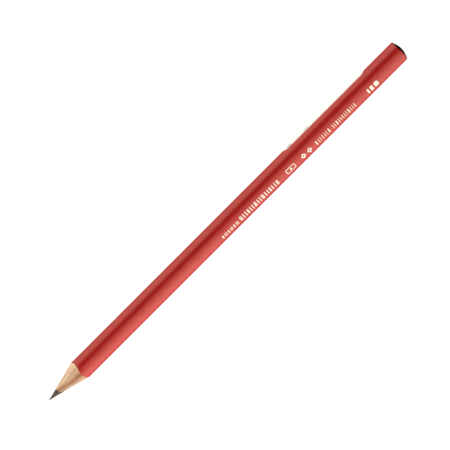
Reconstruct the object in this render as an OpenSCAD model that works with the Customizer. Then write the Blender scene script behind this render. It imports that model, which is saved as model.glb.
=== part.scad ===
// Triangular writing pencil, sharpened, lying on one flat of its barrel.
// X runs along the pencil: the point is towards -X and the dipped end towards +X.
// The origin is the middle of the length, on the surface that the pencil lies on.
// One corner of the barrel points straight up, +Z.

/* [Barrel] */
// Length from the point of the lead to the top of the dipped end
pencil_length = 175; // [90:1:190]
// Distance from the pencil's axis to each corner arc's centre; it sets how wide the flats are
corner_offset = 0.7; // [0.4:0.01:1.2]
// Radius of the three rounded corners
corner_radius = 3.54; // [2.8:0.01:4.2]
// Thickness of the coloured lacquer
coat_thickness = 0.08; // [0.05:0.01:0.2]

/* [Lead and glue] */
// Diameter of the graphite lead
lead_diameter = 2.5; // [2:0.1:3.2]
// Thickness of the glue around the lead
lead_glue = 0.08; // [0.05:0.01:0.15]
// Thickness of the glue between the two wooden slats
slat_glue_thickness = 0.08; // [0.05:0.01:0.15]

/* [Sharpened point] */
// Half the angle of the sharpened cone, in degrees
cone_half_angle = 14.4; // [9:0.1:18]
// Radius of the blunted tip of the lead
tip_radius = 0.12; // [0.05:0.01:0.25]

/* [Dipped end] */
// Height of the dip's dome above the lacquered rim
dip_height = 0.86; // [0.3:0.02:2]
// Radius of the dip where its dome meets the rim
dip_radius = 3.5; // [3:0.05:3.6]
// Radius that rounds the barrel's rim
rim_rounding = 0.7; // [0.3:0.05:1]

/* [Printing] */
// Thickness of the foil and of the printed name panel
print_thickness = 0.03; // [0.02:0.01:0.06]
// Height of the foil characters, measured round the barrel
foil_height = 2; // [1.2:0.1:2.4]
// How far the foil line sits below the middle of its flat
foil_drop = 0.72; // [0:0.02:0.9]
// Length of the name panel
panel_length = 40.5; // [20:0.5:50]
// Width of the name panel
panel_width = 5; // [3:0.1:5.4]

/* [Hidden] */
$fn = 96;

// Two flats face up to either side, and printing is turned onto them; the third faces down.
FOIL_TURN = 240;
PANEL_TURN = 120;
// Each flat lies this little below the line that touches both its arcs, so it meets them at an edge.
FLAT_RELIEF = 0.002;
flat_distance = corner_radius + corner_offset / 2;
corner_distance = corner_radius + corner_offset;
flat_half_width = corner_offset * sin(60);
tip_x = -pencil_length / 2;
end_x = pencil_length / 2;
rim_x = end_x - dip_height;
wood_end_x = rim_x - coat_thickness;
lead_radius = lead_diameter / 2;
bore_radius = lead_radius + lead_glue;
// The cone's sides meet this far in front of the blunted tip.
apex_x = tip_x - tip_radius * (1 / sin(cone_half_angle) - 1);
envelope_radius = corner_distance + 1;
// The dome is part of a ball.
dome_radius = (dip_radius * dip_radius + dip_height * dip_height) / (2 * dip_height);
dome_half_angle = asin(dip_radius / dome_radius);
// Where each printed piece starts, measured from the point
PANEL_START = 119.8;
SERIES_START = 83.5;
BOXED_START = 115.6;
EMBLEM_START = 122.9;
MAKER_START = 130.2;
GRADE_START = 155.7;

// ---- shapes shared by several pieces ----

// The barrel's cross-section with its surface moved inwards; the upper corner points along +Y.
module section(inset) {
  flat = flat_distance - inset - FLAT_RELIEF;
  for (turn = [0:120:240])
    rotate(90 + turn) translate([corner_offset, 0]) circle(corner_radius - inset);
  polygon([for (turn = [0:120:240], side = [-flat_half_width, flat_half_width])
    let (facing = 270 + turn)
    [flat * cos(facing) - side * sin(facing), flat * sin(facing) + side * cos(facing)]]);
}

// Stands a flat shape across the pencil, at x, and gives it a length along X.
module along(x, length) {
  translate([x, 0, flat_distance]) rotate([90, 0, 90]) linear_extrude(height = length) children();
}

// Turns an outline, drawn with its radius along X and its place along the pencil as Y, about the axis.
module turned() {
  translate([0, 0, flat_distance]) rotate([0, 90, 0]) rotate_extrude() children();
}

// All that a sharpener leaves: a cone in front and everything behind it.
module sharpened_envelope() {
  shoulder_x = apex_x + envelope_radius / tan(cone_half_angle);
  turned() polygon([[0, apex_x], [envelope_radius, shoulder_x], [envelope_radius, end_x + 1], [0, end_x + 1]]);
}

// The barrel's outside before sharpening, moved inwards, with its rim rounded as if turned.
// An inner one starts a little further forward, so that it cuts right through an outer one.
module rounded_barrel(inset) {
  arc = rim_rounding - inset;
  front_x = tip_x - inset;
  rim = [for (step = [0:12])
    let (angle = step / 12 * 90)
    [corner_distance - rim_rounding + arc * cos(angle), rim_x - rim_rounding + arc * sin(angle)]];
  intersection() {
    along(front_x, rim_x - inset - front_x) section(inset);
    turned() polygon(concat([[0, front_x - 1], [corner_distance - inset, front_x - 1]], rim, [[0, rim_x - inset]]));
  }
}

// A block above or below the plane where the two slats meet, clear of half the glue's thickness.
module slat_side(direction) {
  size = 2 * envelope_radius;
  offset_z = direction * (size / 2 + slat_glue_thickness / 2);
  translate([0, 0, flat_distance + offset_z]) cube([pencil_length + 2, size, size], center = true);
}

// The whole wooden blank after sharpening, with the lead's hole through it.
module drilled_blank() {
  difference() {
    intersection() {
      rounded_barrel(coat_thickness);
      sharpened_envelope();
    }
    along(tip_x - 1, pencil_length + 2) circle(bore_radius);
  }
}

// A skin of printing on the lacquer, kept only where the flat shapes given as children cover it.
// turn picks the flat. X in the shapes is the distance from the point and Y is down the flat.
module printed_skin(turn, from_x, length) {
  intersection() {
    difference() {
      along(tip_x + from_x, length) section(-print_thickness);
      along(tip_x + from_x - 1, length + 2) section(0);
    }
    translate([tip_x, 0, flat_distance])
      rotate([turn, 0, 0]) mirror([0, 0, 1]) linear_extrude(height = envelope_radius) children();
  }
}

// ---- lead, wood and glue ----

module lead_core() {
  cone_start = apex_x + tip_radius / sin(cone_half_angle) - tip_radius * sin(cone_half_angle);
  tip_arc = [for (step = [0:8])
    let (angle = step / 8 * (90 - cone_half_angle))
    [tip_radius * sin(angle), tip_x + tip_radius * (1 - cos(angle))]];
  color("#504840") turned()
    polygon(concat(tip_arc, [
      [tip_radius * cos(cone_half_angle), cone_start],
      [lead_radius, apex_x + lead_radius / tan(cone_half_angle)],
      [lead_radius, wood_end_x],
      [0, wood_end_x]]));
}

module lead_glue_sleeve() {
  color("#c9bd9c") turned()
    polygon([
      [lead_radius, apex_x + lead_radius / tan(cone_half_angle)],
      [bore_radius, apex_x + bore_radius / tan(cone_half_angle)],
      [bore_radius, wood_end_x],
      [lead_radius, wood_end_x]]);
}

module upper_slat() {
  color("#dcbd92") intersection() {
    drilled_blank();
    slat_side(1);
  }
}

module lower_slat() {
  color("#d8b68a") intersection() {
    drilled_blank();
    slat_side(-1);
  }
}

// Two strips of glue, one on each side of the lead.
module slat_glue_film() {
  color("#cbb98f") intersection() {
    drilled_blank();
    translate([0, 0, flat_distance])
      cube([pencil_length + 2, 2 * envelope_radius, slat_glue_thickness], center = true);
  }
}

// ---- lacquer ----

// The lacquer wraps the rim and stops where the dip begins.
module lacquer_coat() {
  color("#b22822") intersection() {
    difference() {
      rounded_barrel(0);
      rounded_barrel(coat_thickness);
      along(rim_x - rim_rounding, rim_rounding + 1) circle(dip_radius);
    }
    sharpened_envelope();
  }
}

// A shallow dome over the bare end of the wood and the lead.
module end_dip() {
  centre_x = end_x - dome_radius;
  dome = [for (step = [0:12])
    let (angle = dome_half_angle * (1 - step / 12))
    [dome_radius * sin(angle), centre_x + dome_radius * cos(angle)]];
  color("#231e1c") turned() polygon(concat([[0, wood_end_x], [dip_radius, wood_end_x]], dome));
}

// ---- printing on the flat away from the foil ----

module stadium(length, width) {
  end_radius = width / 2;
  polygon([for (turn = [0, 180], step = [0:20])
    let (angle = turn + step / 20 * 180 - 90, centre = turn == 0 ? length - end_radius : end_radius)
    [centre + end_radius * cos(angle), end_radius * sin(angle)]]);
}

// A thin line down the panel's middle and two short bars beside its upper edge.
module panel_rules_outline() {
  rule = 0.18;
  margin = 4;
  bar = [2.1, 0.6];
  bar_starts = [2.1, 10.6];
  edge_gap = 0.45;
  translate([PANEL_START + margin, -rule / 2]) square([panel_length - 2 * margin, rule]);
  for (start = bar_starts)
    translate([PANEL_START + start, panel_width / 2 - edge_gap - bar.y]) square(bar);
}

module name_panel() {
  color("#f6efdd") printed_skin(PANEL_TURN, PANEL_START - 1, panel_length + 2)
    difference() {
      translate([PANEL_START, 0]) stadium(panel_length, panel_width);
      panel_rules_outline();
    }
}

module name_panel_rules() {
  color("#8c4a68") printed_skin(PANEL_TURN, PANEL_START - 1, panel_length + 2) panel_rules_outline();
}

// ---- foil marks: plain blocks and shapes, with no letters ----

// Where a block starts in its row.
function row_place(widths, gap, index) =
  index == 0 ? 0 : row_place(widths, gap, index - 1) + widths[index - 1] + gap;

// A row of upright blocks, each followed by the same gap.
module block_row(widths, gap, height) {
  for (index = [0:len(widths) - 1])
    translate([row_place(widths, gap, index), -height / 2]) square([widths[index], height]);
}

module foil(from_x, length) {
  color("#f8f0dc") printed_skin(FOIL_TURN, from_x - 1, length + 2)
    translate([from_x, foil_drop]) children();
}

// A lower row and a taller, bolder one.
module series_mark() {
  bold_start = 9.2;
  foil(SERIES_START, 28) {
    block_row([0.5, 0.9, 0.5, 0.9, 0.5, 0.9], 0.55, foil_height * 0.7);
    translate([bold_start, 0])
      block_row([0.9, 1.5, 0.6, 1.5, 0.9, 1.5, 0.9, 1.5, 0.6, 1.5, 0.9], 0.65, foil_height);
  }
}

// A dot in a frame.
module bonded_lead_mark() {
  frame = 0.28;
  size = [4.2, foil_height];
  foil(BOXED_START, 4.2) {
    difference() {
      translate([0, -size.y / 2]) square(size);
      translate([frame, frame - size.y / 2]) square([size.x - 2 * frame, size.y - 2 * frame]);
    }
    translate([size.x / 2, 0]) circle(size.y * 0.22);
  }
}

// Two lozenges side by side, each with a round hole.
module emblem_mark() {
  length = 5.2;
  half = foil_height * 0.56;
  foil(EMBLEM_START, length)
    for (x = [half, length - half])
      translate([x, 0]) difference() {
        circle(half, $fn = 4);
        circle(half * 0.3);
      }
}

// Two rows of narrower blocks with a wide space between them.
module maker_mark() {
  second_start = 8.3;
  height = foil_height * 0.92;
  foil(MAKER_START, 21.2) {
    block_row([0.7, 1.1, 0.4, 1.1, 0.7], 0.6, height);
    translate([second_start, 0]) block_row([1.1, 0.7, 1.1, 0.4, 1.1, 0.7, 1.1, 0.4], 0.6, height);
  }
}

// Three bars, each wider than the one before: a plain scale for the lead's hardness.
module grade_mark() {
  foil(GRADE_START, 5.3) block_row([0.7, 1.2, 1.8], 0.7, foil_height);
}

lead_core();
lead_glue_sleeve();
upper_slat();
lower_slat();
slat_glue_film();
lacquer_coat();
end_dip();
name_panel();
name_panel_rules();
series_mark();
bonded_lead_mark();
emblem_mark();
maker_mark();
grade_mark();
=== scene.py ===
import math
from collections import namedtuple

import bmesh
import bpy
from mathutils import Matrix, Vector, noise


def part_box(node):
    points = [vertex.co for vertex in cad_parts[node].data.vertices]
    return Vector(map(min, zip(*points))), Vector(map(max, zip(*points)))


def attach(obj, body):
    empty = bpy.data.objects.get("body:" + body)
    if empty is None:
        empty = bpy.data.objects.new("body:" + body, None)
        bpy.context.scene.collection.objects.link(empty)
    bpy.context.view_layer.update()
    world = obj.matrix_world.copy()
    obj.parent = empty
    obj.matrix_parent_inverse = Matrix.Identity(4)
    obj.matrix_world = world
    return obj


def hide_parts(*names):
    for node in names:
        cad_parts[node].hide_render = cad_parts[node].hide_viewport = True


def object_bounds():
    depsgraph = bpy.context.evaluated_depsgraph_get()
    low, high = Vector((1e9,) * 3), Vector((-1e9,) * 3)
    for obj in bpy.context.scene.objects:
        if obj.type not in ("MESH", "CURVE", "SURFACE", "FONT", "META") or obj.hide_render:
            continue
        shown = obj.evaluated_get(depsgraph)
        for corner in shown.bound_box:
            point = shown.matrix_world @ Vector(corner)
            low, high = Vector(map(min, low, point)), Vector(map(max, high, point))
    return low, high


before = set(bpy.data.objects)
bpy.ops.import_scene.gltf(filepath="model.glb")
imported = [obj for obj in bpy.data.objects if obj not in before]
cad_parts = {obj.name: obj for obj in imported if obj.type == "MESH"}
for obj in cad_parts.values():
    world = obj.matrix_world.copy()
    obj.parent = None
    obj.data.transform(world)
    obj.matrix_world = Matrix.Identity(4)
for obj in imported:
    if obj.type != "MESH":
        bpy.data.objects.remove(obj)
cad_low, cad_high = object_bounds()

MM = 0.001

# ---- sizes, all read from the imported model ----

lead_low, lead_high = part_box("lead_core")
glue_low, glue_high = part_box("lead_glue_sleeve")
slat_low, slat_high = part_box("upper_slat")
coat_low, coat_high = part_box("lacquer_coat")
dip_low, dip_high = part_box("end_dip")

TIP_X = lead_low.x
END_X = dip_high.x
RIM_X = coat_high.x
WOOD_END_X = slat_high.x
AXIS_Z = (lead_low.z + lead_high.z) / 2
LEAD_R = (lead_high.y - lead_low.y) / 2
BORE_R = (glue_high.y - glue_low.y) / 2
DIP_R = (dip_high.y - dip_low.y) / 2
COAT = RIM_X - WOOD_END_X

# The barrel is three arcs of radius CORNER_R, set CORNER_OFFSET from the axis. Its width and
# height give both.
barrel_width = coat_high.y - coat_low.y
barrel_height = coat_high.z - coat_low.z
CORNER_OFFSET = (barrel_width - barrel_height) / (math.sqrt(3) - 1.5)
CORNER_R = (barrel_height - 1.5 * CORNER_OFFSET) / 2
FLAT_DISTANCE = CORNER_R + CORNER_OFFSET / 2

# The cone runs from the bore's edge on the wood to the inner edge of the lacquer on a flat.
CONE_TAN = (FLAT_DISTANCE - COAT - BORE_R) / (coat_low.x - slat_low.x)
CONE_ANGLE = math.atan(CONE_TAN)
APEX_X = slat_low.x - BORE_R / CONE_TAN

# Directions across the pencil are angles from +Y towards +Z. One corner points straight up.
TOP_CORNER = math.radians(90)
FOIL_FACE = math.radians(150)
PANEL_FACE = math.radians(30)
CORNER_STEP = math.radians(120)

# How much of a turn each flat's edge is eased over, so that light rolls across it
EASE = math.radians(5)


# ---- the barrel's outline ----

def from_corner(normal):
    """The angle from the nearest corner's direction to this normal, from -60 to 60 degrees."""
    return (normal - TOP_CORNER + CORNER_STEP / 2) % CORNER_STEP - CORNER_STEP / 2


def support(normal, inset):
    """Distance of the outline's tangent line from the axis, and how fast it changes with the normal."""
    turn = from_corner(normal)
    half_step = CORNER_STEP / 2
    to_flat = half_step - abs(turn)
    kink = CORNER_OFFSET * math.sin(half_step)
    distance = CORNER_R - inset + CORNER_OFFSET * math.cos(turn)
    slope = -CORNER_OFFSET * math.sin(turn)
    if to_flat < EASE:
        blend = 1 - to_flat / EASE
        distance += kink * EASE / 2 * blend ** 2
        slope += math.copysign(kink * blend, turn)
    return distance - kink * EASE / 2, slope


def outline_point(normal, inset=0.0):
    """A point of the barrel's outline as (y, z) from the axis, for the surface that faces along normal."""
    distance, slope = support(normal, inset)
    c, s = math.cos(normal), math.sin(normal)
    return distance * c - slope * s, distance * s + slope * c


def outline_normals():
    """The normals to sample the outline at: fine over the eased flats, even round the corners."""
    normals = []
    for corner in range(3):
        flat = TOP_CORNER + CORNER_STEP / 2 + corner * CORNER_STEP
        edge = EASE * 1.2
        fine, even = 20, 40
        normals += [flat - edge + 2 * edge * step / fine for step in range(fine)]
        start, sweep = flat + edge, CORNER_STEP - 2 * edge
        normals += [start + sweep * step / even for step in range(even)]
    return normals


NORMALS = outline_normals()


def place(x, y, z):
    """From places about the pencil's axis to the row frame."""
    return Vector((x, y, AXIS_Z + z))


def polar(x, radius, direction):
    return place(x, radius * math.cos(direction), radius * math.sin(direction))


def cone_x(radius):
    """Where the sharpened cone has this radius."""
    return APEX_X + radius / CONE_TAN


# ---- mesh helpers ----

# Edges that turn more than this stay sharp under smooth shading.
SHARP_ANGLE = math.radians(35)


def finish_piece(piece, material, nodes):
    """Smooths, paints and hands over one piece."""
    mesh = piece.data
    mesh.shade_smooth()
    mesh.set_sharp_from_angle(angle=SHARP_ANGLE)
    mesh.materials.clear()
    mesh.materials.append(material)
    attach(piece, "root")
    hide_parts(*nodes)
    return piece


def mesh_piece(name, points, faces):
    """A linked object with merged points and all its faces outwards."""
    mesh = bpy.data.meshes.new(name)
    mesh.from_pydata([tuple(p) for p in points], [], faces)
    clean = bmesh.new()
    clean.from_mesh(mesh)
    bmesh.ops.remove_doubles(clean, verts=clean.verts, dist=1e-8)
    bmesh.ops.recalc_face_normals(clean, faces=clean.faces)
    clean.to_mesh(mesh)
    clean.free()
    piece = bpy.data.objects.new(name, mesh)
    bpy.context.scene.collection.objects.link(piece)
    return piece


def joined(strips):
    """The points of all the strips in one list."""
    return [point for strip in strips for point in strip]


def grid_faces(rows, columns, wrap_rows, wrap_columns):
    """Quads of a grid of points stored row by row."""
    faces = []
    for row in range(rows if wrap_rows else rows - 1):
        for column in range(columns if wrap_columns else columns - 1):
            next_row, next_column = (row + 1) % rows, (column + 1) % columns
            faces.append((row * columns + column, row * columns + next_column,
                          next_row * columns + next_column, next_row * columns + column))
    return faces


def waves(angle, terms):
    """A sum of sines round the pencil: each term is (count per turn, size, phase)."""
    return sum(size * math.sin(count * angle + phase) for count, size, phase in terms)


# ---- the lacquer ----

# How unevenly the sharpener leaves the lacquer's edge, along the pencil
EDGE_WAVES = [(2, 0.045 * MM, 0.4), (5, 0.03 * MM, 1.9), (11, 0.022 * MM, 0.7), (23, 0.014 * MM, 2.6),
              (47, 0.009 * MM, 1.1)]
# The edge is worn back a little in the middle of the foil flat.
WORN_EDGE = 0.28 * MM
WORN_WIDTH = math.radians(14)
# The lacquer thins out over a short lip at its front edge.
LIP = 0.02 * MM
LIP_INSET = 0.006 * MM
# The rim's rounding stops this far outside the dip's edge.
RIM_CLEARANCE = 0.01 * MM


def rim_rounding(normal):
    """The radius of the rounded rim, which is larger towards the corners."""
    return math.hypot(*outline_point(normal)) - DIP_R - RIM_CLEARANCE


def rim_profile(normal, angle, lift=0.0):
    """Place and inset on the rounded rim, from 0 degrees on the side to 90 degrees at the dip's edge."""
    rounding = rim_rounding(normal)
    reach = rounding + lift
    return RIM_X - rounding + reach * math.sin(angle), rounding - reach * math.cos(angle)


def rim_point(normal, angle, lift=0.0):
    x, inset = rim_profile(normal, angle, lift)
    return place(x, *outline_point(normal, inset))


def coat_profile(normal):
    """One strip of the lacquer's skin: out along the barrel, round the rim and back inside."""
    def at(x, inset):
        return place(x, *outline_point(normal, inset))

    def radius(inset):
        return math.hypot(*outline_point(normal, inset))

    barrel_steps, crowding, rim_steps, inner_steps = 14, 1.6, 10, 5
    away = (normal - FOIL_FACE) / WORN_WIDTH
    wobble = waves(normal, EDGE_WAVES) + WORN_EDGE * math.exp(-away * away)
    front_out = cone_x(radius(0)) + wobble
    front_in = cone_x(radius(COAT)) + wobble
    start, stop = front_out + LIP, RIM_X - rim_rounding(normal)
    strip = [at(front_out - LIP, LIP), at(front_out, LIP_INSET), at(start, 0)]
    for step in range(1, barrel_steps + 1):
        strip.append(at(start + (stop - start) * (step / barrel_steps) ** crowding, 0))
    for step in range(1, rim_steps + 1):
        strip.append(rim_point(normal, step / rim_steps * math.pi / 2))
    y, z = outline_point(normal)
    direction = math.atan2(z, y)
    strip += [polar(RIM_X, DIP_R, direction), polar(WOOD_END_X, DIP_R, direction)]
    for step in range(inner_steps, -1, -1):
        strip.append(rim_point(normal, step / inner_steps * math.pi / 2, -COAT))
    strip += [at((start + stop) / 2, COAT), at(front_in, COAT)]
    return strip


def build_lacquer(material):
    strips = [coat_profile(normal) for normal in NORMALS]
    faces = grid_faces(len(strips), len(strips[0]), True, True)
    piece = mesh_piece("lacquer_shell", joined(strips), faces)
    return finish_piece(piece, material, ["lacquer_coat"])


# ---- the dipped end ----

# A thin skin of the dip is drawn over the rounded rim. It starts and ends at these angles round the
# rim, ends unevenly, and its end is tucked in by a small angle in radians.
SKIN = 0.025 * MM
SKIN_START = math.radians(84)
SKIN_END = math.radians(38)
SKIN_WAVES = [(3, 0.08, 0.5), (8, 0.04, 1.4), (19, 0.02, 0.2)]
SKIN_TUCK = 0.04


def build_dip(material):
    """A shallow dome of black dip with its skin over the rim."""
    height = END_X - RIM_X
    ball = (DIP_R ** 2 + height ** 2) / (2 * height)
    half_angle = math.asin(DIP_R / ball)
    rings, skin_steps = 24, 6
    strips = []
    for normal in NORMALS:
        y, z = outline_point(normal)
        direction = math.atan2(z, y)
        strip = []
        for step in range(1, rings + 1):
            angle = half_angle * step / rings
            strip.append(polar(END_X - ball + ball * math.cos(angle), ball * math.sin(angle), direction))
        edge = SKIN_END + waves(direction, SKIN_WAVES)
        for step in range(skin_steps + 1):
            strip.append(rim_point(normal, SKIN_START + (edge - SKIN_START) * step / skin_steps, SKIN))
        strip.append(rim_point(normal, edge - SKIN_TUCK, -SKIN / 2))
        strip.append(polar(RIM_X - SKIN, DIP_R - SKIN, direction))
        strip.append(polar(WOOD_END_X, DIP_R - SKIN, direction))
        strips.append(strip)
    points = joined(strips)
    count = len(strips[0])
    faces = grid_faces(len(strips), count, True, False)
    crown, base = len(points), len(points) + 1
    points += [place(END_X, 0, 0), place(WOOD_END_X, 0, 0)]
    for row in range(len(strips)):
        after = (row + 1) % len(strips)
        faces.append((crown, row * count, after * count))
        faces.append((base, after * count + count - 1, row * count + count - 1))
    piece = mesh_piece("dipped_end", points, faces)
    return finish_piece(piece, material, ["end_dip"])


# ---- the lead, its glue and the two slats ----

# The lead sits a little off centre, towards the foil side, and was never quite round.
LEAD_SIDE = math.radians(165)
LEAD_SHIFT = 0.1 * MM
LEAD_WAVES = [(3, 0.018 * MM, 1.0), (7, 0.012 * MM, 0.3), (13, 0.008 * MM, 2.2)]
# On one side a chip of graphite is smeared past its edge.
CHIP_PLACE = math.radians(200)
CHIP_WIDTH = math.radians(32)
CHIP_REACH = 0.5 * MM
# The blunted tip's radius, and the glue's thickness round the lead
TIP_BALL = 0.12 * MM
GLUE = 0.05 * MM
# Directions to sample the lead and its glue at
AROUND = 120
TURNS = [2 * math.pi * step / AROUND for step in range(AROUND)]


def lead_radius(direction):
    """The lead's radius towards a direction, with the chip."""
    shift = LEAD_SHIFT * math.cos(direction - LEAD_SIDE)
    away = (direction - CHIP_PLACE + math.pi) % (2 * math.pi) - math.pi
    chip = CHIP_REACH * math.exp(-(away / CHIP_WIDTH) ** 2)
    return LEAD_R + shift + chip + waves(direction, LEAD_WAVES)


def cone_noise(turn, fineness, along, stretch):
    """Smooth noise on the lead's cone, with one fineness round it and another along it."""
    return noise.noise(Vector((math.cos(turn) * fineness, math.sin(turn) * fineness, along * stretch)))


def scored_point(turn, share):
    """A point of the lead's cone, from the blunted tip at 0 to the edge at 1, scored by the blade."""
    start = TIP_BALL * math.cos(CONE_ANGLE)
    radius = start + (lead_radius(turn) - start) * share
    x = cone_x(radius)
    along = (x - TIP_X) / MM
    scores, facets = cone_noise(turn, 9, along, 0.25), cone_noise(turn, 1.6, along, 0.5)
    fade = math.sin(math.pi * share)
    radius += (0.012 * scores + 0.03 * facets) * MM * fade
    return polar(x, radius, turn)


def build_lead(material):
    """The lead, from its blunted tip to the dipped end."""
    cone_rings, tip_rings = 26, 6
    rings = []
    for step in range(1, tip_rings + 1):
        angle = (math.pi / 2 - CONE_ANGLE) * step / tip_rings
        x, radius = TIP_X + TIP_BALL * (1 - math.cos(angle)), TIP_BALL * math.sin(angle)
        rings.append([polar(x, radius, turn) for turn in TURNS])
    for step in range(1, cone_rings + 1):
        rings.append([scored_point(turn, step / cone_rings) for turn in TURNS])
    rings.append([polar(WOOD_END_X, lead_radius(turn), turn) for turn in TURNS])
    points = joined(rings)
    faces = grid_faces(len(rings), AROUND, False, True)
    tip, base = len(points), len(points) + 1
    points += [place(TIP_X, 0, 0), place(WOOD_END_X, 0, 0)]
    last = (len(rings) - 1) * AROUND
    for step in range(AROUND):
        after = (step + 1) % AROUND
        faces.append((tip, after, step))
        faces.append((base, last + step, last + after))
    piece = mesh_piece("graphite_lead", points, faces)
    return finish_piece(piece, material, ["lead_core"])


def build_lead_glue(material):
    """The thin sleeve of glue between the lead and the wood."""
    strips = []
    for turn in TURNS:
        inner = lead_radius(turn)
        outer = inner + GLUE
        strips.append([polar(cone_x(inner), inner, turn), polar(cone_x(outer), outer, turn),
                       polar(WOOD_END_X, outer, turn), polar(WOOD_END_X, inner, turn)])
    piece = mesh_piece("lead_glue", joined(strips), grid_faces(AROUND, 4, True, True))
    return finish_piece(piece, material, ["lead_glue_sleeve"])


# Half the thickness of the glue between the slats, and how far from its plane a slat's strips start
HALF_SEAM = 0.04 * MM
SEAM_MARGIN = 0.03 * MM
# The blade's marks on the wood: grain that stands out, how fine it is, and chatter, in millimetres
GRAIN_RELIEF = 0.012
GRAIN_FINENESS = 7
CHATTER_RELIEF = 0.0025


def slat_profile(normal):
    """One strip round a slat, out over the cone, along the barrel and back through the groove."""
    y, z = outline_point(normal, COAT)
    full, direction = math.hypot(y, z), math.atan2(z, y)
    bore = lead_radius(direction) + GLUE
    side = 1 if z >= 0 else -1
    cone_steps, barrel_steps, rim_steps = 36, 6, 5
    outer, inner = [], []

    def at(x, radius):
        height = max(abs(radius * math.sin(direction)), HALF_SEAM)
        return place(x, radius * math.cos(direction), height * side)

    for step in range(cone_steps + 1):
        share = step / cone_steps
        radius = bore + (full - bore) * share
        x = cone_x(radius)
        along = (x - TIP_X) / MM
        grain = noise.noise(Vector((y / MM * GRAIN_FINENESS * radius / full,
                                    z / MM * GRAIN_FINENESS * radius / full, along * 0.12)))
        chatter = math.sin(along * 5.2 + direction * 1.5 + 2 * grain)
        fade = math.sin(math.pi * share) ** 0.5 if 0 < share < 1 else 0
        lift = (GRAIN_RELIEF * grain + CHATTER_RELIEF * chatter) * MM * fade
        outer.append(at(x, radius + lift))
        inner.append(at(x, bore))
    edge = cone_x(full)
    stop = RIM_X - rim_rounding(normal)
    barrel = [(edge + (stop - edge) * step / barrel_steps, full) for step in range(1, barrel_steps + 1)]
    for step in range(1, rim_steps + 1):
        x, inset = rim_profile(normal, step / rim_steps * math.pi / 2, -COAT)
        barrel.append((x, math.hypot(*outline_point(normal, inset))))
    for x, radius in barrel:
        outer.append(at(x, radius))
        inner.append(at(x, bore))
    return outer + inner[::-1]


def build_slat(name, node, material, sign):
    """Half of the wooden case, above or below the glue plane."""
    side = [n for n in NORMALS if outline_point(n, COAT)[1] * sign > SEAM_MARGIN]
    side.sort(key=lambda n: math.atan2(outline_point(n, COAT)[1] * sign, outline_point(n, COAT)[0]))
    ends = glue_plane_normals(sign)
    strips = [slat_profile(n) for n in [ends[0]] + side + [ends[1]]]
    points = joined(strips)
    columns = len(strips[0])
    faces = grid_faces(len(strips), columns, False, True)
    half = columns // 2
    for row in (0, len(strips) - 1):
        for step in range(half - 1):
            a, b = row * columns + step, row * columns + step + 1
            c, d = row * columns + columns - 2 - step, row * columns + columns - 1 - step
            faces.append((a, b, c, d))
    piece = mesh_piece(name, points, faces)
    return finish_piece(piece, material, [node])


def glue_plane_normals(sign):
    """The normals where the outline meets one side of the glue (0: its middle), at +Y and then at -Y."""
    found = []
    for start, stop in [(-60, 60), (240, 120)]:
        low, high = math.radians(start), math.radians(stop)
        for _ in range(50):
            middle = (low + high) / 2
            if outline_point(middle, COAT)[1] < sign * HALF_SEAM:
                low = middle
            else:
                high = middle
        found.append(middle)
    return found


def build_slat_glue(material):
    """Two strips of glue that show as hairlines on the sharpened cone."""
    points, faces = [], []
    for sign in (1, -1):
        direction = 0 if sign > 0 else math.pi
        bore = lead_radius(direction) + GLUE
        normal = glue_plane_normals(0)[0 if sign > 0 else 1]
        full = abs(outline_point(normal, COAT)[0])
        corners = [(cone_x(bore), bore), (cone_x(full), full), (RIM_X - rim_rounding(normal), full),
                   (WOOD_END_X, DIP_R), (WOOD_END_X, bore)]
        first, count = len(points), len(corners)
        for z in (-HALF_SEAM, HALF_SEAM):
            points += [place(x, sign * y, z) for x, y in corners]
        faces.append(tuple(first + i for i in reversed(range(count))))
        faces.append(tuple(first + count + i for i in range(count)))
        for i in range(count):
            after = (i + 1) % count
            faces.append((first + i, first + after, first + count + after, first + count + i))
    piece = mesh_piece("slat_glue", points, faces)
    return finish_piece(piece, material, ["slat_glue_film"])


# ---- printing: flat shapes laid on a face of the barrel ----

def face_map(face):
    """Pairs of (distance round the barrel from the face's middle, normal), to look normals up in."""
    steps, reach = 400, math.radians(70)
    table = [(0.0, face)]
    for sign in (1, -1):
        length, last = 0.0, outline_point(face)
        for step in range(1, steps + 1):
            normal = face + sign * reach * step / steps
            here = outline_point(normal)
            length += math.dist(here, last)
            last = here
            table.append((sign * length, normal))
    return sorted(table)


def on_face(table, x, across, lift):
    """The point at a distance round the barrel from a face's middle, lifted off the surface."""
    for (s0, n0), (s1, n1) in zip(table, table[1:]):
        if s0 <= across <= s1:
            normal = n0 + (n1 - n0) * (across - s0) / (s1 - s0)
            break
    return place(x, *outline_point(normal, -lift))


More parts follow.
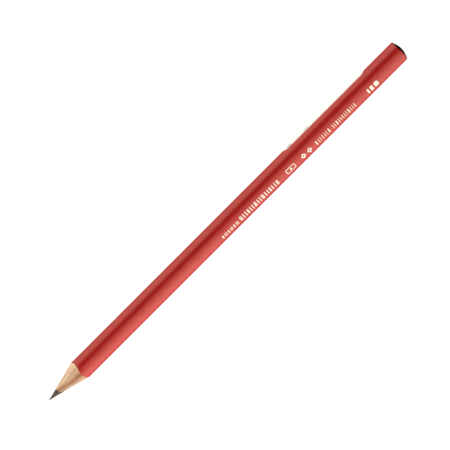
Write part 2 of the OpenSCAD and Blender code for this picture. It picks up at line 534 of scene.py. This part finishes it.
def printed_piece(name, face, outlines, thickness):
    """A thin raised print on a face. Each outline is a list of (x, across) points; inner ones cut holes."""
    curve = bpy.data.curves.new(name, "CURVE")
    curve.dimensions = "2D"
    curve.fill_mode = "BOTH"
    for outline in outlines:
        spline = curve.splines.new("POLY")
        spline.points.add(len(outline) - 1)
        spline.use_cyclic_u = True
        for point, (x, across) in zip(spline.points, outline):
            point.co = (x / MM, across / MM, 0, 1)
    flat = bpy.data.objects.new(name + "_flat", curve)
    bpy.context.scene.collection.objects.link(flat)
    bpy.context.view_layer.update()
    mesh = bpy.data.meshes.new_from_object(flat.evaluated_get(bpy.context.evaluated_depsgraph_get()))
    bpy.data.objects.remove(flat)
    shape = bmesh.new()
    shape.from_mesh(mesh)
    bmesh.ops.remove_doubles(shape, verts=shape.verts, dist=1e-5)
    # Cut into narrow strips, in millimetres, so that it can follow the curved face
    ys = [v.co.y for v in shape.verts]
    strip = 0.2
    cut = math.ceil(min(ys) / strip) * strip
    while cut < max(ys):
        geometry = list(shape.verts) + list(shape.edges) + list(shape.faces)
        bmesh.ops.bisect_plane(shape, geom=geometry, plane_co=(0, cut, 0), plane_no=(0, 1, 0), dist=1e-6)
        cut += strip
    bottom = list(shape.verts)
    top = bmesh.ops.extrude_face_region(shape, geom=list(shape.faces), use_keep_orig=True)
    raised = {v for v in top["geom"] if isinstance(v, bmesh.types.BMVert)}
    table = face_map(face)
    for vert in shape.verts:
        lift = thickness if vert in raised else 0.0
        vert.co = on_face(table, vert.co.x * MM, vert.co.y * MM, lift)
    bmesh.ops.recalc_face_normals(shape, faces=shape.faces)
    shape.to_mesh(mesh)
    shape.free()
    mesh.name = name
    piece = bpy.data.objects.new(name, mesh)
    bpy.context.scene.collection.objects.link(piece)
    return piece


def arc(cx, across, radius, degrees):
    return [(cx + radius * math.cos(math.radians(a)), across + radius * math.sin(math.radians(a)))
            for a in degrees]


def rounded_block(x, across, width, height, corner):
    """A block's outline, drawn from its low corner, with rounded corners."""
    left, right = x + corner, x + width - corner
    bottom, top = across + corner, across + height - corner
    points = []
    for turn, (cx, cy) in enumerate([(right, top), (left, top), (left, bottom), (right, bottom)]):
        points += arc(cx, cy, corner, [90 * turn + 90 * step / 5 for step in range(6)])
    return points


def circle(cx, across, radius):
    return arc(cx, across, radius, range(0, 360, 15))


def lozenge(cx, across, half):
    return [(cx + half, across), (cx, across + half), (cx - half, across), (cx, across - half)]


def stadium(x0, x1, half):
    """A long block with half-round ends."""
    return arc(x1 - half, 0, half, range(-90, 91, 9)) + arc(x0 + half, 0, half, range(90, 271, 9))


FOIL_LIFT = 0.02 * MM
FOIL_MIDDLE = 0.72 * MM
FOIL_HEIGHT = 2.0 * MM
# A block is split into two bars when this much stays free between them.
SPLIT_ROOM = 0.15 * MM

# A row of upright blocks, in millimetres: start is from the mark's low end, raised is from the foil
# line's middle, stroke is a bar's width. Only height is a share of FOIL_HEIGHT.
Row = namedtuple("Row", "widths gap height stroke start raised", defaults=(0, 0))
SERIES_ROWS = [
    Row([0.55, 0.95, 0.5, 0.95, 0.5, 0.95], gap=0.66, height=0.7, stroke=0.32, start=0.3, raised=0.25),
    Row([0.9, 1.5, 0.6, 1.5, 0.9, 1.5, 0.9, 1.5, 0.6, 1.5, 0.9], gap=0.65, height=1, stroke=0.37, start=9.2),
]
MAKER_ROWS = [
    Row([0.5, 1.1, 0.3, 1.1, 0.5], gap=0.8, height=0.92, stroke=0.22),
    Row([1.1, 0.5, 1.1, 0.3, 1.1, 0.5, 1.1, 0.3], gap=0.7, height=0.92, stroke=0.22, start=8.3),
]
GRADE_ROWS = [Row([0.7, 1.2, 1.8], gap=0.7, height=1, stroke=0.9)]


def block_rows(low, rows):
    """Upright blocks in rows, each followed by its row's gap. One with room for it is split into two bars."""
    outlines = []
    for row in rows:
        stroke, height = row.stroke * MM, FOIL_HEIGHT * row.height
        x, base = low.x + row.start * MM, FOIL_MIDDLE + row.raised * MM - height / 2
        for width in [w * MM for w in row.widths]:
            split = width - 2 * stroke > SPLIT_ROOM
            bars = [(x, stroke), (x + width - stroke, stroke)] if split else [(x, width)]
            outlines += [rounded_block(at, base, bar, height, bar * 0.25) for at, bar in bars]
            x += width + row.gap * MM
    return outlines


def boxed_dot(low, high):
    """A frame with a dot in it."""
    width, border = high.x - low.x, 0.28 * MM
    base = FOIL_MIDDLE - FOIL_HEIGHT / 2
    inner_width, inner_height = width - 2 * border, FOIL_HEIGHT - 2 * border
    return [rounded_block(low.x, base, width, FOIL_HEIGHT, 0.3 * MM),
            rounded_block(low.x + border, base + border, inner_width, inner_height, 0.15 * MM),
            circle(low.x + width / 2, FOIL_MIDDLE, FOIL_HEIGHT * 0.22)]


def two_lozenges(low, high):
    """Two lozenges, each with a round hole."""
    half = FOIL_HEIGHT * 0.56
    outlines = []
    for x in (low.x + half, high.x - half):
        outlines += [lozenge(x, FOIL_MIDDLE, half), circle(x, FOIL_MIDDLE, half * 0.3)]
    return outlines


# Each foil piece: the node it replaces and its outlines
FOIL_MARKS = {
    "foil_series": ("series_mark", lambda low, high: block_rows(low, SERIES_ROWS)),
    "foil_boxed_dot": ("bonded_lead_mark", boxed_dot),
    "foil_emblem": ("emblem_mark", two_lozenges),
    "foil_maker": ("maker_mark", lambda low, high: block_rows(low, MAKER_ROWS)),
    "foil_grade": ("grade_mark", lambda low, high: block_rows(low, GRADE_ROWS)),
}


def build_foil(material):
    for name, (node, outlines) in FOIL_MARKS.items():
        piece = printed_piece(name, FOIL_FACE, outlines(*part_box(node)), FOIL_LIFT)
        finish_piece(piece, material, [node])


# The name panel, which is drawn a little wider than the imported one, and the plum printing on it
PANEL_HALF = 2.7 * MM
PANEL_LIFT = 0.015 * MM
PLUM_LIFT = 0.03 * MM
RULE_MARGIN, RULE_HEIGHT, RULE_CORNER = 4 * MM, 0.18 * MM, 0.08 * MM
BAR_STARTS = (2.1 * MM, 10.6 * MM)
BAR_ACROSS, BAR_LENGTH, BAR_HEIGHT, BAR_CORNER = 1.45 * MM, 2.1 * MM, 0.7 * MM, 0.1 * MM


def build_name_panel(ivory, plum):
    """The ivory panel with one thin rule along it and two short bars by its edge."""
    low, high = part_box("name_panel")
    panel = printed_piece("name_panel_print", PANEL_FACE, [stadium(low.x, high.x, PANEL_HALF)], PANEL_LIFT)
    finish_piece(panel, ivory, ["name_panel"])
    length = high.x - low.x - 2 * RULE_MARGIN
    rules = [rounded_block(low.x + RULE_MARGIN, -RULE_HEIGHT / 2, length, RULE_HEIGHT, RULE_CORNER)]
    for start in BAR_STARTS:
        rules.append(rounded_block(low.x + start, BAR_ACROSS, BAR_LENGTH, BAR_HEIGHT, BAR_CORNER))
    print_rules = printed_piece("name_panel_lines", PANEL_FACE, rules, PLUM_LIFT)
    finish_piece(print_rules, plum, ["name_panel_rules"])


# ---- materials ----

def srgb(red, green, blue):
    """An 8-bit screen colour as the linear colour that shaders take."""
    def linear(value):
        value /= 255
        return value / 12.92 if value <= 0.04045 else ((value + 0.055) / 1.055) ** 2.4
    return linear(red), linear(green), linear(blue), 1.0


BLACK = (0, 0, 0, 1)
WHITE = (1, 1, 1, 1)

# The growth rings lie parallel to this direction across the pencil. Square to it, towards +Y and up, the
# wood's tones are painted lighter as painted light.
GRAIN_AND_PAINTED_LIGHT_DIRECTION = math.radians(155)
# A tan band of late wood: how far its middle is from the axis and how far it wanders, in millimetres,
# how it narrows along the cone, as (millimetres behind the tip, scale), and its tones by half-widths.
# The band is the wood's own grain, but its spread towards the lacquer's edge also paints shade there,
# and the palest tones, on the +Y side, are painted light.
BAND_MIDDLE = 0.7
BAND_WANDER = 0.4
BAND_NEAR = (7.5, 1.9)
BAND_FAR = (13.5, 0.7)
RING_AND_LIT_SIDE_TONES = [(-2.6, srgb(200, 178, 170)), (-1.4, srgb(194, 162, 147)), (-0.9, srgb(194, 152, 131)),
              (-0.5, srgb(190, 141, 118)), (0.5, srgb(193, 143, 117)), (1.0, srgb(218, 170, 142)),
              (1.5, srgb(246, 204, 178)), (2.6, srgb(255, 222, 202))]
# Fibres along the wood and lines down the cone multiply those tones.
FIBRE_TONES = [(0.4, (0.6, 0.54, 0.48, 1)), (0.5, (0.93, 0.91, 0.89, 1)), (0.58, WHITE)]
LINE_TONES = [(0.42, (0.56, 0.49, 0.43, 1)), (0.48, (0.92, 0.9, 0.88, 1)), (0.53, WHITE)]


class Shader:
    """A material being built, with short calls for the nodes it needs."""

    def __init__(self, name, **constants):
        self.material = bpy.data.materials.new(name)
        self.material.use_nodes = True
        self.nodes = self.material.node_tree.nodes
        self.links = self.material.node_tree.links
        self.surface = self.nodes["Principled BSDF"]
        for socket, value in constants.items():
            self.surface.inputs[socket.replace("_", " ")].default_value = value

    def put(self, value, socket):
        """Gives a socket a constant, or links another node's output to it."""
        if hasattr(value, "is_output"):
            self.links.new(value, socket)
        else:
            socket.default_value = value

    def feed(self, socket, output):
        self.links.new(output, self.surface.inputs[socket])

    def coordinates(self):
        return self.nodes.new("ShaderNodeTexCoord").outputs["Object"]

    def place(self, scale=(1, 1, 1)):
        """Object coordinates in millimetres, stretched by scale."""
        mapping = self.nodes.new("ShaderNodeMapping")
        mapping.inputs["Scale"].default_value = [s / MM for s in scale]
        self.links.new(self.coordinates(), mapping.inputs["Vector"])
        return mapping.outputs["Vector"]

    def noise(self, vector, scale, detail=3.0, roughness=0.5):
        node = self.nodes.new("ShaderNodeTexNoise")
        node.inputs["Scale"].default_value = scale
        node.inputs["Detail"].default_value = detail
        node.inputs["Roughness"].default_value = roughness
        self.links.new(vector, node.inputs["Vector"])
        return node.outputs["Fac"]

    def ramp(self, value, *stops):
        node = self.nodes.new("ShaderNodeValToRGB")
        elements = node.color_ramp.elements
        while len(elements) < len(stops):
            elements.new(0.5)
        for element, (position, colour) in zip(elements, stops):
            element.position = position
            element.color = colour
        self.links.new(value, node.inputs["Fac"])
        return node.outputs["Color"]

    def mask(self, value, low, high):
        """Black below low and white above high."""
        return self.ramp(value, (low, BLACK), (high, WHITE))

    def mix(self, factor, a, b, blend="MIX"):
        node = self.nodes.new("ShaderNodeMix")
        node.data_type = "RGBA"
        node.blend_type = blend
        for kind, value in (("Factor_Float", factor), ("A_Color", a), ("B_Color", b)):
            self.put(value, next(s for s in node.inputs if s.identifier == kind))
        return next(s for s in node.outputs if s.identifier == "Result_Color")

    def operate(self, kind, operation, values):
        node = self.nodes.new(kind)
        node.operation = operation
        for socket, value in zip(node.inputs, values):
            self.put(value, socket)
        return node

    def calculate(self, operation, *values):
        return self.operate("ShaderNodeMath", operation, values).outputs["Value"]

    def vector(self, operation, *values):
        return self.operate("ShaderNodeVectorMath", operation, values).outputs["Vector"]

    def map_range(self, value, **ends):
        node = self.nodes.new("ShaderNodeMapRange")
        for socket, end in ends.items():
            node.inputs[socket.replace("_", " ")].default_value = end
        self.links.new(value, node.inputs["Value"])
        return node.outputs["Result"]

    def rescale(self, value, low, high):
        """Takes low to 0 and high to 1."""
        return self.map_range(value, From_Min=low, From_Max=high)

    def between(self, value, low, high):
        """Takes 0 to low and 1 to high."""
        return self.map_range(value, To_Min=low, To_Max=high)

    def streaks(self, fineness, along):
        """Coordinates that fan out round the pencil's axis, for streaks that run down the cone."""
        about_axis = self.vector("SUBTRACT", self.coordinates(), (0, 0, AXIS_Z))
        outwards = self.vector("NORMALIZE", self.vector("MULTIPLY", about_axis, (0, 1, 1)))
        lengthwise = self.vector("MULTIPLY", about_axis, (along / MM, 0, 0))
        sideways = self.vector("MULTIPLY", outwards, (fineness, fineness, fineness))
        return self.vector("ADD", sideways, lengthwise)

    def across_rings(self, direction):
        """Millimetres from the plane through the pencil's axis that runs along direction."""
        mapping = self.nodes.new("ShaderNodeMapping")
        mapping.vector_type = "TEXTURE"
        mapping.inputs["Location"].default_value = (0, 0, AXIS_Z)
        mapping.inputs["Rotation"].default_value = (direction - math.pi / 2, 0, 0)
        mapping.inputs["Scale"].default_value = (MM, MM, MM)
        self.links.new(self.coordinates(), mapping.inputs["Vector"])
        split = self.nodes.new("ShaderNodeSeparateXYZ")
        self.links.new(mapping.outputs["Vector"], split.inputs["Vector"])
        return split.outputs["Y"]

    def band_scale(self, near, far):
        """Shrinks from near to far along the sharpened cone, as (millimetres behind the tip, scale) pairs."""
        split = self.nodes.new("ShaderNodeSeparateXYZ")
        self.links.new(self.coordinates(), split.inputs["Vector"])
        return self.map_range(split.outputs["X"], From_Min=TIP_X + near[0] * MM, From_Max=TIP_X + far[0] * MM,
                              To_Min=near[1], To_Max=far[1])

    def bump(self, height, strength, distance):
        """A bump of so many millimetres."""
        node = self.nodes.new("ShaderNodeBump")
        node.inputs["Strength"].default_value = strength
        node.inputs["Distance"].default_value = distance * MM
        self.links.new(height, node.inputs["Height"])
        return node.outputs["Normal"]


def red_lacquer():
    shader = Shader("red_lacquer", IOR=1.5, Specular_IOR_Level=0.1, Metallic=0.2, Coat_Weight=0.8,
                    Coat_Roughness=0.35, Coat_IOR=1.5)
    fine = shader.noise(shader.place((0.25, 1, 1)), 1.2, 4)
    tone = shader.ramp(fine, (0.3, srgb(174, 20, 16)), (0.7, srgb(181, 23, 18)))
    specks = shader.noise(shader.place(), 9, 2)
    shader.feed("Base Color", shader.mix(shader.mask(specks, 0.72, 0.78), tone, srgb(160, 16, 13)))
    shader.feed("Roughness", shader.between(shader.noise(shader.place((0.1, 1, 1)), 2.5, 4), 0.55, 0.65))
    peel = shader.noise(shader.place((0.35, 1, 1)), 1.6, 2)
    normal = shader.bump(peel, 0.12, 0.02)
    shader.feed("Normal", normal)
    shader.feed("Coat Normal", normal)
    return shader.material


def black_dip():
    shader = Shader("black_dip", IOR=1.4, Specular_IOR_Level=0.25)
    cloud = shader.noise(shader.place(), 1.5, 3)
    shader.feed("Base Color", shader.ramp(cloud, (0.3, srgb(20, 17, 18)), (0.7, srgb(32, 28, 29))))
    shader.feed("Roughness", shader.between(cloud, 0.4, 0.55))
    shader.feed("Normal", shader.bump(shader.noise(shader.place(), 3, 2), 0.2, 0.02))
    return shader.material


def cedar(name, shift):
    """Pale pencil wood. One growth ring darkens towards a tan band and starts again pale behind it. The tones
    are painted lighter towards +Y and up as painted light, and the band spreads wider near the lacquer's
    edge, partly as painted shade.
    """
    shader = Shader(name, IOR=1.4, Specular_IOR_Level=0.2)
    wander = shader.noise(shader.place((0.06, 0.5, 0.5)), 1.0 + shift, 2, 0.4)
    depth = shader.across_rings(GRAIN_AND_PAINTED_LIGHT_DIRECTION)
    offset = shader.between(wander, -BAND_WANDER - BAND_MIDDLE, BAND_WANDER - BAND_MIDDLE)
    wandering = shader.calculate("ADD", depth, offset)
    # Spreading the band wider towards the lacquer's edge paints shade there as well as grain.
    ring = shader.calculate("MULTIPLY", wandering, shader.band_scale(BAND_NEAR, BAND_FAR))
    low, high = RING_AND_LIT_SIDE_TONES[0][0], RING_AND_LIT_SIDE_TONES[-1][0]
    stops = [((at - low) / (high - low), tone) for at, tone in RING_AND_LIT_SIDE_TONES]
    # Tones across the ring: the tan band is grain, and the pale tones towards +Y and up are painted light.
    ring_and_lit_side_tone = shader.ramp(shader.rescale(ring, low, high), *stops)
    fibres = shader.noise(shader.place((0.07, 2.6, 2.6)), 1, 6, 0.75)
    lines = shader.noise(shader.streaks(6 + shift, 0.1), 1, 5, 0.8)
    fibred = shader.mix(0.5, ring_and_lit_side_tone, shader.ramp(fibres, *FIBRE_TONES), "MULTIPLY")
    tone = shader.mix(0.9, fibred, shader.ramp(lines, *LINE_TONES), "MULTIPLY")
    pores = shader.noise(shader.place((0.3, 9, 9)), 1.3, 2)
    shader.feed("Base Color", shader.mix(shader.mask(pores, 0.64, 0.74), tone, srgb(176, 118, 84)))
    shader.feed("Roughness", shader.between(fibres, 0.6, 0.8))
    shader.feed("Normal", shader.bump(fibres, 0.5, 0.03))
    return shader.material


def graphite():
    """Graphite burnished by the blade: a blackish grey, with lighter streaks down the cone painted into its
    colour as highlights.
    """
    shader = Shader("graphite", Metallic=0.35)
    streaks = shader.noise(shader.place((0.25, 5, 5)), 1, 4, 0.6)
    patches = shader.noise(shader.place((0.6, 1.5, 1.5)), 1, 3)
    # The lighter end of these streaks is painted highlight; the deep end is the graphite's own tone.
    painted_highlight_streaks = shader.ramp(streaks, (0.38, srgb(46, 36, 35)), (0.62, srgb(118, 102, 100)))
    shader.feed("Base Color", shader.mix(shader.between(patches, 0.0, 0.6), painted_highlight_streaks, srgb(64, 51, 49)))
    shader.feed("Roughness", shader.between(streaks, 0.32, 0.55))
    shader.feed("Normal", shader.bump(streaks, 0.5, 0.02))
    return shader.material


def dried_glue():
    shader = Shader("dried_glue", Roughness=0.5)
    cloud = shader.noise(shader.place(), 3, 3)
    shader.feed("Base Color", shader.ramp(cloud, (0.3, srgb(150, 112, 82)), (0.7, srgb(180, 138, 104))))
    return shader.material


def print_ink(name, low, high, roughness):
    """Printing ink or stamped foil: an even tone, thinner in places."""
    shader = Shader(name, IOR=1.45)
    grain = shader.noise(shader.place(), 6, 4)
    shader.feed("Base Color", shader.ramp(grain, (0.3, low), (0.6, high)))
    shader.feed("Roughness", shader.between(grain, roughness - 0.06, roughness + 0.08))
    shader.feed("Normal", shader.bump(grain, 0.15, 0.01))
    return shader.material


def floor_paper():
    """White paper on a light table."""
    shader = Shader("floor_paper", Roughness=0.9, Emission_Color=WHITE, Emission_Strength=1.0)
    grain = shader.noise(shader.place((0.05, 0.05, 0.05)), 1, 3)
    shader.feed("Base Color", shader.ramp(grain, (0.3, (0.62, 0.62, 0.62, 1)), (0.7, (0.64, 0.64, 0.64, 1))))
    return shader.material


# ---- stage, light and camera ----

FLOOR_HALF = 2.0


def build_floor():
    """The light table, which takes no part in the lighting or the reflections."""
    corners = [(-1, -1), (1, -1), (1, 1), (-1, 1)]
    mesh = bpy.data.meshes.new("floor")
    mesh.from_pydata([(x * FLOOR_HALF, y * FLOOR_HALF, cad_low.z) for x, y in corners], [], [(0, 1, 2, 3)])
    mesh.materials.append(floor_paper())
    floor = bpy.data.objects.new("floor", mesh)
    bpy.context.scene.collection.objects.link(floor)
    floor.visible_diffuse = False
    floor.visible_glossy = False
    floor.visible_shadow = False


# Strips of light all along the pencil: bright ones low in front and high behind, and none straight
# above. Each is (angle, spread, brightness, far end along X). The angle is from level on the -Y side,
# going up; a light may be below the floor, which lets it through. Angles are in degrees.
SOFTBOXES = {
    "softbox_front": (-15, 40, 3.5, 0.36),
    "softbox_front_low": (-47, 30, 1.8, 0.36),
    "softbox_front_fill": (28, 34, 1.45, 0.36),
    "softbox_back_high": (120, 32, 2.5, 0.65),
    "softbox_back_low": (158, 44, 1.6, 0.65),
    "softbox_below": (-120, 110, 0.25, 0.35),
}
SOFTBOX_DISTANCE = 0.6
SOFTBOX_LENGTH = 1.6
SOFTBOX_TINT = (1.0, 0.98, 0.82)


def softbox(name, around_degrees, spread_degrees, brightness, end_x):
    """A long soft light that faces the pencil's axis."""
    height = 2 * SOFTBOX_DISTANCE * math.tan(math.radians(spread_degrees / 2))
    light = bpy.data.lights.new(name, "AREA")
    light.shape = "RECTANGLE"
    light.size, light.size_y = SOFTBOX_LENGTH, height
    light.color = SOFTBOX_TINT
    light.energy = math.pi * SOFTBOX_LENGTH * height * brightness
    lamp = bpy.data.objects.new(name, light)
    angle = math.radians(around_degrees)
    back = Vector((0, -math.cos(angle), math.sin(angle)))
    lamp.location = Vector((end_x - SOFTBOX_LENGTH / 2, 0, AXIS_Z)) + back * SOFTBOX_DISTANCE
    lamp.rotation_mode = "QUATERNION"
    along = Vector((1, 0, 0))
    lamp.rotation_quaternion = Matrix((along, back.cross(along), back)).transposed().to_quaternion()
    lamp.visible_camera = False
    bpy.context.scene.collection.objects.link(lamp)


def build_light():
    for name, settings in SOFTBOXES.items():
        softbox(name, *settings)
    world = bpy.data.worlds.new("studio")
    bpy.context.scene.world = world
    world.use_nodes = True
    background = world.node_tree.nodes["Background"]
    background.inputs["Color"].default_value = WHITE
    background.inputs["Strength"].default_value = 1.0
    world.cycles_visibility.diffuse = False
    world.cycles_visibility.glossy = False
    bpy.context.scene.view_settings.view_transform = "Standard"
    bpy.context.scene.view_settings.look = "None"


# The camera looks down at the foil side, a little from the dipped end, with the pencil across the
# picture from the lower left to the upper right.
VIEW_ELEVATION = math.radians(60)
VIEW_TURN = math.radians(1)
LENS = 220.0
SENSOR = 36.0
VIEW_WIDTH = 157.97 * MM
VIEW_CENTRE_ALONG = -0.05 * MM
VIEW_CENTRE_ACROSS = 0.16 * MM


def build_camera():
    data = bpy.data.cameras.new("camera")
    data.lens, data.sensor_width = LENS, SENSOR
    distance = VIEW_WIDTH * LENS / SENSOR
    back = Vector((math.sin(VIEW_TURN), -math.cos(VIEW_TURN) * math.cos(VIEW_ELEVATION),
                   math.cos(VIEW_TURN) * math.sin(VIEW_ELEVATION)))
    along = (Vector((1, 0, 0)) - back * back.x).normalized()
    across = along.cross(back)
    right, up = (along + across).normalized(), (along - across).normalized()
    centre = Vector((0, 0, AXIS_Z)) + along * VIEW_CENTRE_ALONG + across * VIEW_CENTRE_ACROSS
    camera = bpy.data.objects.new("camera", data)
    camera.rotation_mode = "QUATERNION"
    camera.rotation_quaternion = Matrix((right, up, back)).transposed().to_quaternion()
    camera.location = centre + back * distance
    data.clip_start, data.clip_end = distance * 0.1, distance * 10
    bpy.context.scene.collection.objects.link(camera)
    bpy.context.scene.camera = camera


build_camera()
build_light()
build_floor()
build_lacquer(red_lacquer())
build_dip(black_dip())
build_lead(graphite())
glue = dried_glue()
build_lead_glue(glue)
build_slat("upper_slat_wood", "upper_slat", cedar("cedar_upper", 0.0), 1)
build_slat("lower_slat_wood", "lower_slat", cedar("cedar_lower", 0.13), -1)
build_slat_glue(glue)
build_foil(print_ink("cream_foil", srgb(228, 220, 214), srgb(238, 232, 228), 0.42))
build_name_panel(print_ink("ivory_ink", srgb(240, 237, 240), srgb(246, 244, 246), 0.5),
                 print_ink("plum_ink", srgb(100, 26, 58), srgb(122, 36, 72), 0.5))
